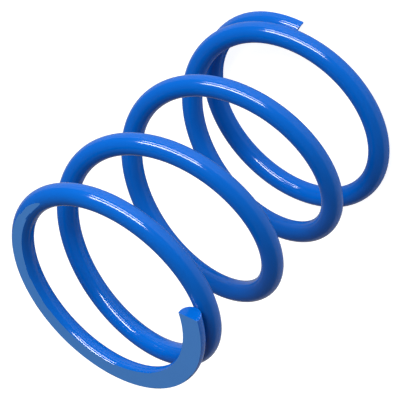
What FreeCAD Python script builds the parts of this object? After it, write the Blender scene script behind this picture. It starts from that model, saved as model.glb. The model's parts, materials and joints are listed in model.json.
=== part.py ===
import FreeCAD, Part
import collections
import math
import os

# Powder-coated compression spring with closed and ground ends, for a belt-drive clutch.
# Millimetres, +Z up along the coil axis, origin at the centre of the bottom ground face.
# The wire starts at its bottom tip, at angle 0 on +X, and climbs right-handed.
# Upright planes through the Z axis divide it into stretches, so that each one can slide
# along Z beside its neighbours with no gap opening and no overlap.

# Wire and coil
wire_diameter = 5.06            # bare spring steel
coat_thickness = 0.09           # powder coat, on every face
mean_radius = 25.2              # coil axis to wire centre, in the active turns
total_turns = 4.792
active_pitch = 25.08            # rise of an open turn
tip_gap = 0.08                  # between each coated tip and the turn beside it

# Each end coil:
#   closed_pitch   rise of a turn at the tip
#   opening_turns  length of wire over which the closed pitch opens to the active one
#   flare          how far the coil stands out, half a turn from the tip
#   tuck           how far the tip is drawn in
#   grind_depth    ground away at the tip, over the coat
#   tip_slant      degrees from a plane through the axis to the cut
End = collections.namedtuple("End", "closed_pitch opening_turns flare tuck grind_depth tip_slant")
bottom = End(closed_pitch=3.79, opening_turns=0.68, flare=0.88, tuck=0.88,
             grind_depth=2.30, tip_slant=-25.0)
top = End(closed_pitch=2.74, opening_turns=0.77, flare=0.0, tuck=0.0,
          grind_depth=1.95, tip_slant=-12.0)
tuck_turns = 0.4                # length of wire over which a tuck builds up

# Division of the wire
end_coil_turns = 1.125          # from the bottom tip to the first active stretch
active_stretches = 20
stretches_per_turn = 8

# Construction
sections_per_turn = 32
grinding_block = 90.0           # width of the block that grinds an end

FULL_TURN = 2 * math.pi
coated_radius = wire_diameter / 2 + coat_thickness


def opened(turns, end, middle):
    """Open turns gathered this far from a tip, for an S-shaped opening about its middle."""
    share = min(max((turns - middle) / end.opening_turns + 0.5, 0.0), 1.0)
    beyond = max(turns - middle - end.opening_turns / 2, 0.0)
    return end.opening_turns * (share ** 3 - share ** 4 / 2) + beyond


def opening_middle(end):
    """Turns from a tip to the middle of its opening, so that the second turn clears the tip."""
    rise = math.sqrt((2 * coated_radius + tip_gap) ** 2 - end.tuck ** 2)
    wanted = (rise - end.closed_pitch) / (active_pitch - end.closed_pitch)
    low, high = 0.5, 1.5
    for _ in range(40):
        trial = (low + high) / 2
        if opened(1.0, end, trial) > wanted:
            low = trial
        else:
            high = trial
    return low


bottom_middle = opening_middle(bottom)
top_middle = opening_middle(top)


def height(turns):
    """Height of the wire's centre, this many turns from the bottom tip."""
    from_top = total_turns - turns
    closed_by_top = turns - opened(total_turns, top, top_middle) + opened(from_top, top, top_middle)
    return (coated_radius - bottom.grind_depth + bottom.closed_pitch * turns
            + (active_pitch - bottom.closed_pitch) * opened(turns, bottom, bottom_middle)
            - (active_pitch - top.closed_pitch) * closed_by_top)


def radius(turns):
    """Distance from the coil axis to the wire's centre."""
    distance = mean_radius
    for from_tip, end in ((turns, bottom), (total_turns - turns, top)):
        if 0.0 < from_tip < 1.0:
            distance += end.flare * math.sin(math.pi * from_tip) ** 2
        if from_tip < tuck_turns:
            distance -= end.tuck * (1 - from_tip / tuck_turns) ** 2
    return distance


free_length = height(total_turns) + coated_radius - top.grind_depth


def outline(turns, section_radius, slant=0.0):
    """Round wire's outline where an upright plane cuts it; a slanted cut widens it."""
    step = 1e-4
    rise = (height(turns + step) - height(turns - step)) / (2 * step)
    climb = rise / (FULL_TURN * radius(turns))
    tall = section_radius * math.hypot(1, climb)
    wide = section_radius / math.cos(math.radians(slant))
    angle = FULL_TURN * turns
    facing = angle + math.radians(slant)
    middle = FreeCAD.Vector(radius(turns) * math.cos(angle), radius(turns) * math.sin(angle),
                            height(turns))
    outward = FreeCAD.Vector(wide * math.cos(facing), wide * math.sin(facing), 0)
    crown = middle + FreeCAD.Vector(0, 0, tall)
    if tall > wide:
        edge = Part.Ellipse(crown, middle + outward, middle).toShape()
    else:
        edge = Part.Ellipse(middle - outward, crown, middle).toShape(math.pi / 2, math.pi * 5 / 2)
    return Part.Wire([edge])


def wire_between(start, end, section_radius, start_slant=0.0, end_slant=0.0):
    """Solid wire between two turn counts, with flat upright ends."""
    count = max(4, math.ceil((end - start) * sections_per_turn))
    turns = [start + (end - start) * i / count for i in range(count + 1)]
    slants = [start_slant] + [0.0] * (count - 1) + [end_slant]
    outlines = [outline(t, section_radius, slant) for t, slant in zip(turns, slants)]
    return Part.makeLoft(outlines, True, False)


def grinding_below(level):
    """Block that takes away everything under a level."""
    corner = FreeCAD.Vector(-grinding_block / 2, -grinding_block / 2, level - grinding_block)
    return Part.makeBox(grinding_block, grinding_block, grinding_block, corner)


def grinding_above(level):
    """Block that takes away everything over a level."""
    corner = FreeCAD.Vector(-grinding_block / 2, -grinding_block / 2, level)
    return Part.makeBox(grinding_block, grinding_block, grinding_block, corner)


def bottom_end(section_radius, cover):
    """Closed bottom coil, its tip and ground face lying under this thickness of coat."""
    covered_turns = cover / (FULL_TURN * mean_radius)
    wire = wire_between(covered_turns, end_coil_turns, section_radius,
                        start_slant=bottom.tip_slant)
    return wire.cut(grinding_below(cover))


def top_end(section_radius, cover):
    """Closed top coil, its tip and ground face lying under this thickness of coat."""
    covered_turns = cover / (FULL_TURN * mean_radius)
    first = end_coil_turns + active_stretches / stretches_per_turn
    wire = wire_between(first, total_turns - covered_turns, section_radius,
                        end_slant=top.tip_slant)
    return wire.cut(grinding_above(free_length - cover))


def export_wire_and_coat(name, wire, coated):
    """Write the steel wire, and the coat that is left when it's taken from the coated shape."""
    coat = coated.cut(wire)
    for layer, shape in (("wire", wire), ("coat", coat)):
        if len(shape.Solids) != 1:
            raise ValueError(f"{name} {layer} is not one solid")
        shape.Solids[0].exportStep(os.path.join("parts", name.replace("#", layer) + ".step"))


def build():
    """Make every stretch, from the bottom tip to the top tip."""
    os.makedirs("parts", exist_ok=True)
    bare_radius = wire_diameter / 2
    export_wire_and_coat("bottom_end_#", bottom_end(bare_radius, coat_thickness),
                         bottom_end(coated_radius, 0.0))
    for index in range(active_stretches):
        start = end_coil_turns + index / stretches_per_turn
        end = start + 1 / stretches_per_turn
        export_wire_and_coat(f"active_#_{index + 1:02d}", wire_between(start, end, bare_radius),
                             wire_between(start, end, coated_radius))
    export_wire_and_coat("top_end_#", top_end(bare_radius, coat_thickness),
                         top_end(coated_radius, 0.0))


build()
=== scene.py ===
import json
import logging
import math
from dataclasses import dataclass
from enum import Enum, IntEnum
from functools import cached_property

import bmesh
import bpy
from mathutils import Matrix, Vector
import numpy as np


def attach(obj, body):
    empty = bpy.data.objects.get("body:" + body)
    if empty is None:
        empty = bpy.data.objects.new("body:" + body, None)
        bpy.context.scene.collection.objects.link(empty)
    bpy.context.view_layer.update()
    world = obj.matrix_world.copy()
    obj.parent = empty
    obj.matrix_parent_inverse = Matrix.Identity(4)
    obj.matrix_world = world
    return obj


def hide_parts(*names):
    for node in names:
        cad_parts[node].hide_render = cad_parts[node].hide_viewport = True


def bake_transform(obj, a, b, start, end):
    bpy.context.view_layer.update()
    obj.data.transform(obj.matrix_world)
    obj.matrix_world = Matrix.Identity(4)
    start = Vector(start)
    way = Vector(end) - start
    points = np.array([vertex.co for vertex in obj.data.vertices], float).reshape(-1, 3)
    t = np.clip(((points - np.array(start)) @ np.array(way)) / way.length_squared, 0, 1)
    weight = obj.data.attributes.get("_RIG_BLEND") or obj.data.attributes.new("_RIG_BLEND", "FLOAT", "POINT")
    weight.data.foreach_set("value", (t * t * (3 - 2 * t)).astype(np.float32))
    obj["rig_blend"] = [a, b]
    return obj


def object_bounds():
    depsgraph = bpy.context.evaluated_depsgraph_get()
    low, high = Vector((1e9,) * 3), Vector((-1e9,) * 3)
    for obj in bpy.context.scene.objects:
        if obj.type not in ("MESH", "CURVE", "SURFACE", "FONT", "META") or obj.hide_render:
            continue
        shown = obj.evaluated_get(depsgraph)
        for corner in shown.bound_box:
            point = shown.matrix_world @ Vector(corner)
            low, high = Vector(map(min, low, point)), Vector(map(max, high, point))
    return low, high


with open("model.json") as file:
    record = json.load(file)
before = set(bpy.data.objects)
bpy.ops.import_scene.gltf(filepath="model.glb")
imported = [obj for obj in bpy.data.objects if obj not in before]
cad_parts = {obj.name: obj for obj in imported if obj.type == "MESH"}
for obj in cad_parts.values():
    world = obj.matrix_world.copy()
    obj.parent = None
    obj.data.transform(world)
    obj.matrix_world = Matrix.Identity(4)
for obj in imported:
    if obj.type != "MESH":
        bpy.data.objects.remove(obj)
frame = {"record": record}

log = logging.getLogger("clutch_spring")

CAD_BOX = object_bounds()
FULL_TURN = 2 * math.pi
MM = 0.001


class WireEnd(Enum):
    """The two ends of the spring."""

    BOTTOM = "bottom"
    TOP = "top"


class Layer(Enum):
    """The two layers that every stretch of the spring has."""

    WIRE = "wire"
    COAT = "coat"


class Face(IntEnum):
    """What a face of the wire is, which decides its finish and how it is shaded."""

    ROUND = 0
    GROUND = 1
    CUT = 2
    ROUNDED_EDGE = 3
    INSIDE = 4


@dataclass(frozen=True)
class EndForm:
    """How one end coil is wound, cut and ground, in millimetres and degrees.

    closed_pitch is the rise of a turn at the tip, opening_turns the length of wire over which it
    opens, flare how far the coil stands out half a turn from the tip, tuck how far the tip is
    drawn in, and tip_slant how far the tip's cut turns away from a plane through the axis.
    """

    closed_pitch: float
    opening_turns: float
    flare: float
    tuck: float
    grind_depth: float
    tip_slant: float

    def opened(self, turns: float, middle: float) -> float:
        """Add up the open turns between the tip and a place along the wire.

        Args:
            turns: Turns from the tip.
            middle: Turns from the tip to the middle of the opening.

        Returns:
            The open turns so far.
        """
        share = min(max((turns - middle) / self.opening_turns + 0.5, 0.0), 1.0)
        beyond = max(turns - middle - self.opening_turns / 2, 0.0)
        return self.opening_turns * (share ** 3 - share ** 4 / 2) + beyond


@dataclass(frozen=True)
class CoilForm:
    """The whole spring's winding, in millimetres."""

    wire_diameter: float = 5.06
    coat_thickness: float = 0.09
    mean_radius: float = 25.2
    total_turns: float = 4.792
    active_pitch: float = 25.08
    tip_gap: float = 0.08
    tuck_turns: float = 0.4
    end_coil_turns: float = 1.125
    stretches_per_turn: int = 8
    active_stretches: int = 20
    bottom: EndForm = EndForm(3.79, 0.68, 0.88, 0.88, 2.30, -25.0)
    top: EndForm = EndForm(2.74, 0.77, 0.0, 0.0, 1.95, -12.0)

    @property
    def coated_radius(self) -> float:
        """Radius of the wire over its coat."""
        return self.wire_diameter / 2 + self.coat_thickness

    @cached_property
    def bottom_middle(self) -> float:
        """Turns from the bottom tip to the middle of its opening."""
        return self.opening_middle(self.bottom)

    @cached_property
    def top_middle(self) -> float:
        """Turns from the top tip to the middle of its opening."""
        return self.opening_middle(self.top)

    @cached_property
    def free_length(self) -> float:
        """Height of the top ground face, in millimetres."""
        return self.height(self.total_turns) + self.coated_radius - self.top.grind_depth

    def opening_middle(self, end: EndForm) -> float:
        """Find where an end coil opens, so that its second turn just clears the tip.

        Args:
            end: The end coil's form.

        Returns:
            Turns from the tip to the middle of the opening.
        """
        rise = math.sqrt((2 * self.coated_radius + self.tip_gap) ** 2 - end.tuck ** 2)
        wanted = (rise - end.closed_pitch) / (self.active_pitch - end.closed_pitch)
        low, high = 0.5, 1.5
        for _ in range(40):
            trial = (low + high) / 2
            if end.opened(1.0, trial) > wanted:
                low = trial
            else:
                high = trial
        return low

    def height(self, turns: float) -> float:
        """Give the height of the wire's centre.

        Args:
            turns: Turns from the bottom tip.

        Returns:
            Height over the bottom ground face, in millimetres.
        """
        closed_by_top = (turns - self.top.opened(self.total_turns, self.top_middle)
                         + self.top.opened(self.total_turns - turns, self.top_middle))
        opened_at_bottom = self.bottom.opened(turns, self.bottom_middle)
        return (self.coated_radius - self.bottom.grind_depth + self.bottom.closed_pitch * turns
                + (self.active_pitch - self.bottom.closed_pitch) * opened_at_bottom
                - (self.active_pitch - self.top.closed_pitch) * closed_by_top)

    def radius(self, turns: float) -> float:
        """Give the distance from the coil axis to the wire's centre.

        Args:
            turns: Turns from the bottom tip.

        Returns:
            The distance in millimetres.
        """
        distance = self.mean_radius
        for from_tip, end in ((turns, self.bottom), (self.total_turns - turns, self.top)):
            if 0.0 < from_tip < 1.0:
                distance += end.flare * math.sin(math.pi * from_tip) ** 2
            if from_tip < self.tuck_turns:
                distance -= end.tuck * (1 - from_tip / self.tuck_turns) ** 2
        return distance

    def centre(self, turns: float) -> Vector:
        """Point on the wire's centre line, in metres."""
        angle = FULL_TURN * turns
        reach = self.radius(turns)
        return Vector((reach * math.cos(angle), reach * math.sin(angle), self.height(turns))) * MM

    def along(self, turns: float) -> Vector:
        """Way that the centre line moves per turn, in metres."""
        step = 1e-4
        return (self.centre(turns + step) - self.centre(turns - step)) / (2 * step)

    def outward(self, point: Vector, near: float) -> Vector:
        """Find which way the round wire's surface faces.

        Args:
            point: A point on the surface, in metres.
            near: Turns from the bottom tip to somewhere close by.

        Returns:
            The direction from the centre line to the point.
        """
        turns = near
        for _ in range(3):
            along = self.along(turns)
            turns += (point - self.centre(turns)).dot(along) / along.length_squared
        return (point - self.centre(turns)).normalized()

    def station(self, turns: float, slant: float = 0.0) -> Matrix:
        """Place a cross-section of the wire.

        Args:
            turns: Turns from the bottom tip.
            slant: Degrees that a cut turns the section about the upright; zero is square.

        Returns:
            A matrix that takes a circle in the XY plane to the section, X outward.
        """
        along = self.along(turns).normalized()
        across = Vector((math.cos(FULL_TURN * turns), math.sin(FULL_TURN * turns), 0.0))
        across = (across - along * across.dot(along)).normalized()
        upward = across.cross(along)
        if slant:
            turned = Matrix.Rotation(math.radians(slant), 3, "Z")
            across = (turned @ across) / math.cos(math.radians(slant))
        square = Matrix((across, upward, across.cross(upward).normalized())).transposed()
        return Matrix.Translation(self.centre(turns)) @ square.to_4x4()


@dataclass
class WireStretch:
    """One stretch of the wire: how much of the winding it covers, and how its ends are cut.

    A tip is cut flat and its side ground flat. Its sharp edges are rounded, as coated steel is.
    """

    form: CoilForm
    start: float
    end: float
    tip: WireEnd | None = None
    sides: int = 64
    rings_per_turn: int = 96
    edge_round: float = 0.30
    edge_segments: int = 3
    sharp_from: float = 16.0

    def slant(self, end: WireEnd) -> float:
        """Slant of the cut at one end of the stretch, in degrees."""
        if self.tip is not end:
            return 0.0
        return (self.form.bottom if end is WireEnd.BOTTOM else self.form.top).tip_slant

    def tube(self, section_radius: float, cover: float) -> bmesh.types.BMesh:
        """Draw the round wire as an open tube, with each vertex's place along the wire.

        Args:
            section_radius: The wire's radius in millimetres.
            cover: How far the tip lies under the coat's surface, in millimetres.

        Returns:
            A bmesh with the tube.
        """
        bm = bmesh.new()
        place = bm.verts.layers.float.new("turns")
        covered = cover / (FULL_TURN * self.form.mean_radius)
        first = self.start + (covered if self.tip is WireEnd.BOTTOM else 0.0)
        last = self.end - (covered if self.tip is WireEnd.TOP else 0.0)
        count = math.ceil((last - first) * self.rings_per_turn)
        here = self.form.station(first, self.slant(WireEnd.BOTTOM))
        ring = bmesh.ops.create_circle(bm, segments=self.sides, radius=section_radius * MM,
                                       matrix=here)["verts"]
        for v in ring:
            v[place] = first
        edges = bm.edges[:]
        for i in range(1, count + 1):
            turns = first + (last - first) * i / count
            there = self.form.station(turns, self.slant(WireEnd.TOP) if i == count else 0.0)
            grown = bmesh.ops.extrude_edge_only(bm, edges=edges)["geom"]
            ring = [g for g in grown if isinstance(g, bmesh.types.BMVert)]
            edges = [g for g in grown if isinstance(g, bmesh.types.BMEdge)
                     and all(v in ring for v in g.verts)]
            bmesh.ops.transform(bm, matrix=there @ here.inverted(), verts=ring)
            for v in ring:
                v[place] = turns
            here = there
        bmesh.ops.recalc_face_normals(bm, faces=bm.faces)
        return bm

    def grind(self, bm: bmesh.types.BMesh, cover: float) -> None:
        """Press everything beyond the grinding plane flat onto it.

        Args:
            bm: The tube.
            cover: How far the ground face lies under the coat's surface, in millimetres.
        """
        kind = bm.faces.layers.int["kind"]
        below = self.tip is WireEnd.BOTTOM
        level = (cover if below else self.form.free_length - cover) * MM
        bmesh.ops.bisect_plane(bm, geom=bm.verts[:] + bm.edges[:] + bm.faces[:], dist=1e-7,
                               plane_co=(0, 0, level), plane_no=(0, 0, 1))
        hair = 1e-7
        beyond = [v for v in bm.verts
                  if (v.co.z < level + hair if below else v.co.z > level - hair)]
        bmesh.ops.scale(bm, vec=(1, 1, 0), space=Matrix.Translation((0, 0, -level)), verts=beyond)
        bmesh.ops.remove_doubles(bm, verts=bm.verts[:], dist=0.02 * MM)
        flat = {v for v in bm.verts if abs(v.co.z - level) < hair}
        for face in bm.faces:
            if all(v in flat for v in face.verts):
                face[kind] = Face.GROUND

    def close(self, bm: bmesh.types.BMesh, both: bool) -> None:
        """Close the tip, or both ends, with flat faces.

        Args:
            bm: The tube.
            both: Whether the end that meets the next stretch is closed too.
        """
        kind = bm.faces.layers.int["kind"]
        middle = (self.start + self.end) / 2
        place = bm.verts.layers.float["turns"]
        rims = [e for e in bm.edges if e.is_boundary]
        if not both:
            at_bottom = self.tip is WireEnd.BOTTOM
            rims = [e for e in rims if (e.verts[0][place] < middle) == at_bottom]
        for face in bmesh.ops.holes_fill(bm, edges=rims, sides=0)["faces"]:
            face[kind] = Face.CUT

    def round_edges(self, bm: bmesh.types.BMesh) -> None:
        """Round the edges of the tip and of the ground face."""
        kind = bm.faces.layers.int["kind"]
        sharp = [e for e in bm.edges if len(e.link_faces) == 2
                 and e.link_faces[0][kind] != e.link_faces[1][kind]
                 and e.calc_face_angle() > math.radians(self.sharp_from)]
        rounded = bmesh.ops.bevel(bm, geom=sharp, offset=self.edge_round * MM, affect="EDGES",
                                  segments=self.edge_segments, profile=0.5, material=-1,
                                  clamp_overlap=True)
        for face in rounded["faces"]:
            face[kind] = Face.ROUNDED_EDGE

    def skin(self, layer: Layer) -> bmesh.types.BMesh:
        """Build one layer of the stretch.

        Args:
            layer: The steel wire, or the coat that wraps it.

        Returns:
            A closed bmesh: a solid wire, or a shell of the coat's thickness.
        """
        coated = layer is Layer.COAT
        section_radius = self.form.coated_radius if coated else self.form.wire_diameter / 2
        cover = 0.0 if coated else self.form.coat_thickness
        bm = self.tube(section_radius, cover)
        kind = bm.faces.layers.int.new("kind")
        if self.tip:
            self.grind(bm, cover)
        if self.tip or not coated:
            self.close(bm, both=not coated)
        if self.tip:
            self.round_edges(bm)
        if coated:
            bmesh.ops.recalc_face_normals(bm, faces=bm.faces[:])
            shown = set(bm.faces)
            bmesh.ops.solidify(bm, geom=bm.faces[:], thickness=self.form.coat_thickness * MM)
            for face in bm.faces:
                if face not in shown:
                    face[kind] = Face.INSIDE
            if self.tip:
                self.hold_inside(bm)
        return bm

    def hold_inside(self, bm: bmesh.types.BMesh) -> None:
        """Keep the coat's inner side from coming through its ground face.

        Args:
            bm: The coat, with its inner side made.
        """
        kind = bm.faces.layers.int["kind"]
        deep = self.form.coat_thickness * MM
        lowest, highest = deep, self.form.free_length * MM - deep
        for vert in {v for f in bm.faces if f[kind] == Face.INSIDE for v in f.verts}:
            if all(f[kind] == Face.INSIDE for f in vert.link_faces):
                vert.co.z = min(max(vert.co.z, lowest), highest)

    def shade(self, bm: bmesh.types.BMesh) -> list[Vector]:
        """Work out how each face corner is shaded, so that stretches meet with no seam.

        Args:
            bm: The finished layer.

        Returns:
            A direction for each corner, in the mesh's order; a zero one is left to the mesh.
        """
        kind = bm.faces.layers.int["kind"]
        place = bm.verts.layers.float["turns"]
        flat = {v: f.normal.copy() for f in bm.faces if f[kind] in (Face.GROUND, Face.CUT)
                for v in f.verts}
        round_side = {v: self.form.outward(v.co, v[place]) for f in bm.faces
                      if f[kind] == Face.ROUND for v in f.verts}
        corners = []
        for face in bm.faces:
            for v in face.verts:
                if face[kind] in (Face.GROUND, Face.CUT):
                    corners.append(face.normal.copy())
                elif face[kind] == Face.ROUND:
                    corners.append(round_side[v])
                elif face[kind] == Face.ROUNDED_EDGE:
                    corners.append(flat.get(v) or round_side.get(v) or v.normal.copy())
                else:
                    corners.append(Vector((0.0, 0.0, 0.0)))
        return corners


@dataclass(frozen=True)
class SurfaceGrain:
    """Shader node group for what every finish shares: uneven colour, gloss and relief."""

    name: str = "surface_grain"

    def group(self) -> bpy.types.NodeTree:
        """Build the group once, and give it to every finish.

        Returns:
            The group, with the inputs Colour, Unevenness, Roughness, Gloss Drift, Fine Scale,
            Broad Scale and Broad Share, and the outputs Colour, Roughness and Height.
        """
        made = bpy.data.node_groups.get(self.name)
        if made:
            return made
        tree = bpy.data.node_groups.new(self.name, "ShaderNodeTree")
        inputs = (("Colour", "NodeSocketColor", None), ("Unevenness", "NodeSocketFloat", 0.05),
                  ("Roughness", "NodeSocketFloat", 0.1), ("Gloss Drift", "NodeSocketFloat", 0.02),
                  ("Fine Scale", "NodeSocketFloat", 900.0),
                  ("Broad Scale", "NodeSocketFloat", 120.0),
                  ("Broad Share", "NodeSocketFloat", 0.5))
        for label, kind, value in inputs:
            socket = tree.interface.new_socket(label, in_out="INPUT", socket_type=kind)
            if value is not None:
                socket.default_value = value
        for label, kind in (("Colour", "NodeSocketColor"), ("Roughness", "NodeSocketFloat"),
                            ("Height", "NodeSocketFloat")):
            tree.interface.new_socket(label, in_out="OUTPUT", socket_type=kind)
        nodes = NodeDesk(tree)
        given = nodes.add("NodeGroupInput")
        where = nodes.add("ShaderNodeTexCoord")
        fine = nodes.add("ShaderNodeTexNoise", Vector=where.outputs["Object"],
                         Scale=given.outputs["Fine Scale"], Detail=2.0)
        broad = nodes.add("ShaderNodeTexNoise", Vector=where.outputs["Object"],
                          Scale=given.outputs["Broad Scale"], Detail=2.0)
        drift = nodes.maths("SUBTRACT", broad.outputs["Fac"], 0.5)
        gloss = nodes.maths("MULTIPLY_ADD", drift, given.outputs["Gloss Drift"],
                            given.outputs["Roughness"])
        shade = nodes.maths("MULTIPLY_ADD", drift, given.outputs["Unevenness"], 1.0)
        tinted = nodes.add("ShaderNodeVectorMath", operation="SCALE",
                           Vector=given.outputs["Colour"], Scale=shade)
        relief = nodes.add("ShaderNodeMix", Factor=given.outputs["Broad Share"],
                           A=fine.outputs["Fac"], B=broad.outputs["Fac"])
        out = nodes.add("NodeGroupOutput")
        nodes.join(tinted.outputs["Vector"], out.inputs["Colour"])
        nodes.join(gloss, out.inputs["Roughness"])
        nodes.join(relief.outputs["Result"], out.inputs["Height"])
        return tree


@dataclass
class NodeDesk:
    """Adds nodes to a node tree, with their inputs linked or set."""

    tree: bpy.types.NodeTree

    def add(self, kind: str, **settings) -> bpy.types.Node:
        """Add a node.

        Args:
            kind: The node's type name.
            settings: Properties of the node, or values or links for its inputs, by name.

        Returns:
            The new node.
        """
        node = self.tree.nodes.new(kind)
        for label, value in settings.items():
            if label.islower() and hasattr(node, label):
                setattr(node, label, value)
                continue
            socket = node.inputs[label.replace("_", " ")]
            if isinstance(value, bpy.types.NodeSocket):
                self.join(value, socket)
            else:
                socket.default_value = value
        return node

    def maths(self, operation: str, *values: float | bpy.types.NodeSocket
              ) -> bpy.types.NodeSocket:
        """Add a Math node.

        Args:
            operation: The operation's name.
            values: Its inputs in order, as numbers or sockets.

        Returns:
            The node's result.
        """
        node = self.tree.nodes.new("ShaderNodeMath")
        node.operation = operation
        for socket, value in zip(node.inputs, values):
            if isinstance(value, bpy.types.NodeSocket):
                self.join(value, socket)
            else:
                socket.default_value = value
        return node.outputs[0]

    def join(self, source: bpy.types.NodeSocket, target: bpy.types.NodeSocket) -> None:
        """Link one socket to another."""
        self.tree.links.new(source, target)


@dataclass(frozen=True)
class Finish:
    """A surface finish: its colour and gloss, and the grain that makes them uneven."""

    name: str
    colour: tuple[float, float, float]
    roughness: float
    metallic: float = 0.0
    ior: float = 1.5
    specular_level: float = 0.5
    unevenness: float = 0.06
    gloss_drift: float = 0.03
    fine_scale: float = 900.0
    broad_scale: float = 160.0
    broad_share: float = 0.6
    relief: float = 0.02
    relief_depth: float = 0.3
    glow: float = 0.0

    def material(self) -> bpy.types.Material:
        """Build the finish as a material.

        Returns:
            The material, the same one each time.
        """
        made = bpy.data.materials.get(self.name)
        if made:
            return made
        material = bpy.data.materials.new(self.name)
        material.use_nodes = True
        material.node_tree.nodes.clear()
        desk = NodeDesk(material.node_tree)
        grain = desk.add("ShaderNodeGroup", node_tree=SurfaceGrain().group())
        grain.inputs["Colour"].default_value = (*self.colour, 1.0)
        for label, value in (("Unevenness", self.unevenness), ("Roughness", self.roughness),
                             ("Gloss Drift", self.gloss_drift), ("Fine Scale", self.fine_scale),
                             ("Broad Scale", self.broad_scale),
                             ("Broad Share", self.broad_share)):
            grain.inputs[label].default_value = value
        bump = desk.add("ShaderNodeBump", Strength=self.relief, Distance=self.relief_depth * MM,
                        Height=grain.outputs["Height"])
        shader = desk.add("ShaderNodeBsdfPrincipled", Metallic=self.metallic, IOR=self.ior,
                          Roughness=grain.outputs["Roughness"],
                          Normal=bump.outputs["Normal"])
        shader.inputs["Specular IOR Level"].default_value = self.specular_level
        desk.join(grain.outputs["Colour"], shader.inputs["Base Color"])
        if self.glow:
            desk.join(grain.outputs["Colour"], shader.inputs["Emission Color"])
            shader.inputs["Emission Strength"].default_value = self.glow
        out = desk.add("ShaderNodeOutputMaterial")
        desk.join(shader.outputs["BSDF"], out.inputs["Surface"])
        return material


@dataclass(frozen=True)
class SpringFinishes:
    """The finishes of the spring's layers."""

    steel: Finish = Finish("drawn_spring_steel", (0.34, 0.34, 0.35), 0.34, metallic=1.0,
                           unevenness=0.35, gloss_drift=0.25, relief=0.25, relief_depth=0.05)
    gloss_coat: Finish = Finish("gloss_blue_powder_coat", (0.0, 0.086, 0.40), 0.12,
                                relief=0.35, relief_depth=0.05)
    # The ground face is the same blue coat, matte where it was ground. Its base colour is made lighter and
    # greyer than the gloss coat's as painted sheen: the reflection of the pale surroundings is painted into
    # the colour. The higher roughness is the ground face's own.
    ground_coat_painted_sheen: Finish = Finish("ground_blue_coat_painted_sheen", (0.045, 0.17, 0.46), 0.5,
                                 relief=0.35, relief_depth=0.05)

    def dress(self, mesh: bpy.types.Mesh, layer: Layer) -> None:
        """Give a mesh its materials.

        Args:
            mesh: The layer's mesh.
            layer: The steel wire or the coat.
        """
        if layer is Layer.WIRE:
            mesh.materials.append(self.steel.material())
        else:
            mesh.materials.append(self.gloss_coat.material())
            # Second slot: the ground face's coat, whose lighter colour holds painted sheen.
            mesh.materials.append(self.ground_coat_painted_sheen.material())


@dataclass
class SpringPart:
    """One body of the spring: a stretch of wire and its coat."""

    stretch: WireStretch
    finishes: SpringFinishes
    label: str
    cad_names: dict[Layer, str]

    def build(self) -> list[bpy.types.Object]:
        """Make the wire and its coat.

        Returns:
            The two pieces, not yet riding on a body.
        """
        return [self.piece(layer) for layer in Layer]

    def piece(self, layer: Layer) -> bpy.types.Object:
        """Make one layer as an object.

        Args:
            layer: The steel wire or the coat.

        Returns:
            The piece, with its finish, standing for its CAD node.
        """
        bm = self.stretch.skin(layer)
        bm.normal_update()
        kind = bm.faces.layers.int["kind"]
        for face in bm.faces:
            face.smooth = True
            # Ground faces take the second slot, the matte coat with painted sheen in its colour.
            if layer is Layer.COAT and face[kind] == Face.GROUND:
                face.material_index = 1
        corners = self.stretch.shade(bm)
        material, name = {Layer.WIRE: ("spring_steel", f"steel_wire_{self.label}"),
                          Layer.COAT: ("blue_powder_coat", f"blue_coat_{self.label}")}[layer]
        mesh = bpy.data.meshes.new(name)
        self.finishes.dress(mesh, layer)
        bm.to_mesh(mesh)
        bm.free()
        mesh.normals_split_custom_set(corners)
        for layer_name in ("turns", "kind"):
            mesh.attributes.remove(mesh.attributes[layer_name])
        piece = bpy.data.objects.new(name, mesh)
        bpy.context.scene.collection.objects.link(piece)
        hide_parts(self.cad_names[layer])
        return piece


@dataclass
class EndCoil:
    """A closed and ground end coil, which moves as one."""

    form: CoilForm
    finishes: SpringFinishes
    end: WireEnd

    def build(self) -> None:
        """Make the coil's wire and coat, riding on their body."""
        body = f"{self.end.value}_end"
        active_turns = self.form.active_stretches / self.form.stretches_per_turn
        reach = {WireEnd.BOTTOM: (0.0, self.form.end_coil_turns),
                 WireEnd.TOP: (self.form.end_coil_turns + active_turns, self.form.total_turns)}
        stretch = WireStretch(self.form, *reach[self.end], tip=self.end)
        part = SpringPart(stretch, self.finishes, body,
                          {layer: f"{body}_{layer.value}" for layer in Layer})
        for piece in part.build():
            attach(piece, body)
            log.info("%s: %d faces", piece.name, len(piece.data.polygons))


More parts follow.
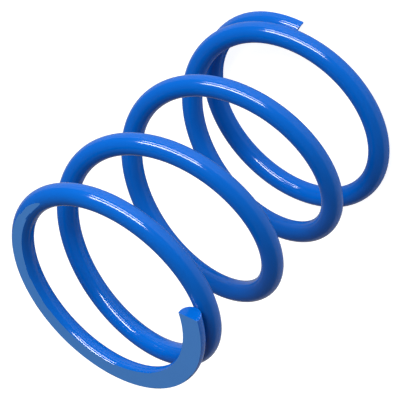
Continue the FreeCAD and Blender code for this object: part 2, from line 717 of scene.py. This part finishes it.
@dataclass
class ActiveCoil:
    """The open turns between the end coils, which share out the compression."""

    form: CoilForm
    finishes: SpringFinishes
    stretch_shares: list[float]

    def shares(self, index: int) -> tuple[float, float]:
        """Share of the travel that a stretch takes at its start and at its end.

        Args:
            index: The stretch's place, from 0 at the bottom.

        Returns:
            The two shares, where the bottom end coil's is 0 and the top one's is 1.
        """
        known = [0.0, *self.stretch_shares, 1.0]
        meets = [0.0] + [(known[i] + known[i + 1]) / 2 for i in range(1, len(known) - 2)] + [1.0]
        return meets[index], meets[index + 1]

    def bend(self, piece: bpy.types.Object, index: int) -> None:
        """Let a stretch lean as the spring closes, so that it stays joined to its neighbours.

        Args:
            piece: The stretch's wire or coat.
            index: The stretch's place, from 0 at the bottom.
        """
        half_angle = math.pi / self.form.stretches_per_turn
        middle = FULL_TURN * (self.form.end_coil_turns
                              + (index + 0.5) / self.form.stretches_per_turn)
        along = Vector((-math.sin(middle), math.cos(middle), 0.0))
        reach = self.form.mean_radius * math.sin(half_angle) * MM
        first, last = (0.5 - math.sin(math.asin(1 - 2 * share) / 3)
                       for share in self.shares(index))
        whole = 2 * reach / (last - first)
        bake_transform(piece, "bottom_end", "top_end", start=along * (-reach - first * whole),
                 end=along * (-reach + (1 - first) * whole))

    def build(self) -> None:
        """Make every stretch's wire and coat."""
        for index in range(self.form.active_stretches):
            start = self.form.end_coil_turns + index / self.form.stretches_per_turn
            stretch = WireStretch(self.form, start, start + 1 / self.form.stretches_per_turn)
            number = f"{index + 1:02d}"
            part = SpringPart(stretch, self.finishes, f"active_{number}",
                              {layer: f"active_{layer.value}_{number}" for layer in Layer})
            for piece in part.build():
                self.bend(piece, index)
        log.info("active coil: %d stretches", self.form.active_stretches)


@dataclass(frozen=True)
class Softbox:
    """A lit panel that faces the spring."""

    name: str
    heading: float
    elevation: float
    distance: float
    width: float
    height: float
    power: float
    turn: float = 0.0
    mirrored: bool = True

    def hang(self, aim: Vector) -> bpy.types.Object:
        """Hang the panel.

        Args:
            aim: The point that it faces.

        Returns:
            The light.
        """
        light = bpy.data.lights.new(self.name, "AREA")
        light.shape = "RECTANGLE"
        light.size, light.size_y = self.width, self.height
        light.energy = self.power
        lamp = bpy.data.objects.new(self.name, light)
        heading, rise = math.radians(self.heading), math.radians(self.elevation)
        away = Vector((math.cos(heading) * math.cos(rise), math.sin(heading) * math.cos(rise),
                       math.sin(rise)))
        aimed = away.to_track_quat("Z", "Y").to_matrix()
        lamp.matrix_world = (Matrix.Translation(aim + away * self.distance)
                             @ (aimed @ Matrix.Rotation(math.radians(self.turn), 3, "Z")).to_4x4())
        lamp.visible_glossy = self.mirrored
        bpy.context.scene.collection.objects.link(lamp)
        return lamp


@dataclass(frozen=True)
class ProductCamera:
    """The camera: where it looks from, and how it is turned."""

    heading: float = 146.887
    dip: float = 35.366
    roll: float = -133.679
    distance: float = 0.49259
    lens: float = 185.94
    sensor: float = 36.0
    aim_offset: tuple[float, float, float] = (-0.87, 0.49, 1.49)

    def place(self, middle: Vector) -> None:
        """Make the camera and give it to the scene.

        Args:
            middle: The middle of the spring.
        """
        heading, dip, roll = (math.radians(a) for a in (self.heading, self.dip, self.roll))
        forward = Vector((math.cos(dip) * math.cos(heading), math.cos(dip) * math.sin(heading),
                          -math.sin(dip)))
        level = forward.cross(Vector((0, 0, 1))).normalized()
        right = math.cos(roll) * level + math.sin(roll) * level.cross(forward)
        axes = Matrix((right, right.cross(forward), -forward)).transposed()
        camera = bpy.data.cameras.new("product_camera")
        camera.lens, camera.sensor_width = self.lens, self.sensor
        camera.clip_start, camera.clip_end = 0.01, 10.0
        holder = bpy.data.objects.new("product_camera", camera)
        aim = middle + Vector(self.aim_offset) * MM
        holder.matrix_world = (Matrix.Translation(aim - forward * self.distance)
                               @ axes.to_4x4())
        bpy.context.scene.collection.objects.link(holder)
        bpy.context.scene.camera = holder


@dataclass
class Studio:
    """The plain pale floor, the soft light round the spring and the camera."""

    floor_side: float = 6.0
    floor_drop: float = 0.0002
    floor_finish: Finish = Finish("pale_studio_floor", (0.4, 0.4, 0.4), 0.6, unevenness=0.01,
                                  gloss_drift=0.02, relief=0.05, specular_level=0.2, glow=2.3)
    surround: float = 0.10
    backdrop: float = 1.0
    mirrored_glow: float = 0.0
    camera: ProductCamera = ProductCamera()
    lights: tuple[Softbox, ...] = (
        Softbox("upper_key_strip", 10.0, 36.0, 1.2, 1.2, 0.16, 17.0),
        Softbox("lower_key_strip", 10.0, 17.0, 1.2, 1.2, 0.10, 8.0),
        Softbox("fill_panel", 150.0, 62.0, 1.4, 0.9, 0.9, 4.0, mirrored=False),
    )

    def build(self, middle: Vector) -> None:
        """Set up the floor, the surroundings, the lights and the camera.

        Args:
            middle: The middle of the spring.
        """
        self.lay_floor()
        self.light_surround()
        for softbox in self.lights:
            softbox.hang(middle)
        self.camera.place(middle)
        bpy.context.scene.view_settings.view_transform = "Standard"
        log.info("studio: %d lights", len(self.lights))

    def floor_surface(self) -> bpy.types.Material:
        """Make the floor's material, which looks darker where the spring mirrors it.

        Returns:
            The material.
        """
        surface = self.floor_finish.material()
        desk = NodeDesk(surface.node_tree)
        dimmed = desk.add("ShaderNodeMapRange")
        dimmed.inputs["To Min"].default_value = self.floor_finish.glow
        dimmed.inputs["To Max"].default_value = self.mirrored_glow
        desk.join(desk.add("ShaderNodeLightPath").outputs["Is Glossy Ray"],
                  dimmed.inputs["Value"])
        desk.join(dimmed.outputs["Result"],
                  surface.node_tree.nodes["Principled BSDF"].inputs["Emission Strength"])
        return surface

    def lay_floor(self) -> None:
        """Lay the floor just under the spring."""
        bm = bmesh.new()
        bmesh.ops.create_grid(bm, x_segments=1, y_segments=1, size=self.floor_side / 2)
        bmesh.ops.translate(bm, vec=(0, 0, -self.floor_drop), verts=bm.verts)
        mesh = bpy.data.meshes.new("studio_floor")
        bm.to_mesh(mesh)
        bm.free()
        mesh.materials.append(self.floor_surface())
        floor = bpy.data.objects.new("studio_floor", mesh)
        bpy.context.scene.collection.objects.link(floor)

    def light_surround(self) -> None:
        """Make the surroundings: dim in the spring's gloss, pale behind it."""
        world = bpy.data.worlds.new("studio_surround")
        world.use_nodes = True
        desk = NodeDesk(world.node_tree)
        background = world.node_tree.nodes["Background"]
        background.inputs["Color"].default_value = (1, 1, 1, 1)
        seen = desk.add("ShaderNodeMapRange")
        seen.inputs["To Min"].default_value = self.surround
        seen.inputs["To Max"].default_value = self.backdrop
        desk.join(desk.add("ShaderNodeLightPath").outputs["Is Camera Ray"], seen.inputs["Value"])
        desk.join(seen.outputs["Result"], background.inputs["Strength"])
        bpy.context.scene.world = world


def travel_shares(record: dict, count: int) -> list[float]:
    """Read how much of the compression each active stretch takes.

    Args:
        record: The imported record.
        count: How many stretches there are.

    Returns:
        Each stretch's share, from the bottom up.
    """
    ratios = {c["joint"]: c["ratio"] for c in record["behaviour"]["couplings"]}
    return [ratios[f"stretch_{i + 1:02d}_travel"] for i in range(count)]


def main() -> None:
    """Build the spring and its studio."""
    logging.basicConfig(level=logging.INFO, format="%(name)s: %(message)s")
    form = CoilForm()
    finishes = SpringFinishes()
    log.info("free length %.3f mm, CAD box %.3f mm high", form.free_length,
             (CAD_BOX[1].z - CAD_BOX[0].z) / MM)
    EndCoil(form, finishes, WireEnd.BOTTOM).build()
    ActiveCoil(form, finishes, travel_shares(frame["record"], form.active_stretches)).build()
    EndCoil(form, finishes, WireEnd.TOP).build()
    Studio().build(Vector((0.0, 0.0, form.free_length / 2 * MM)))


if __name__ == "__main__":
    main()
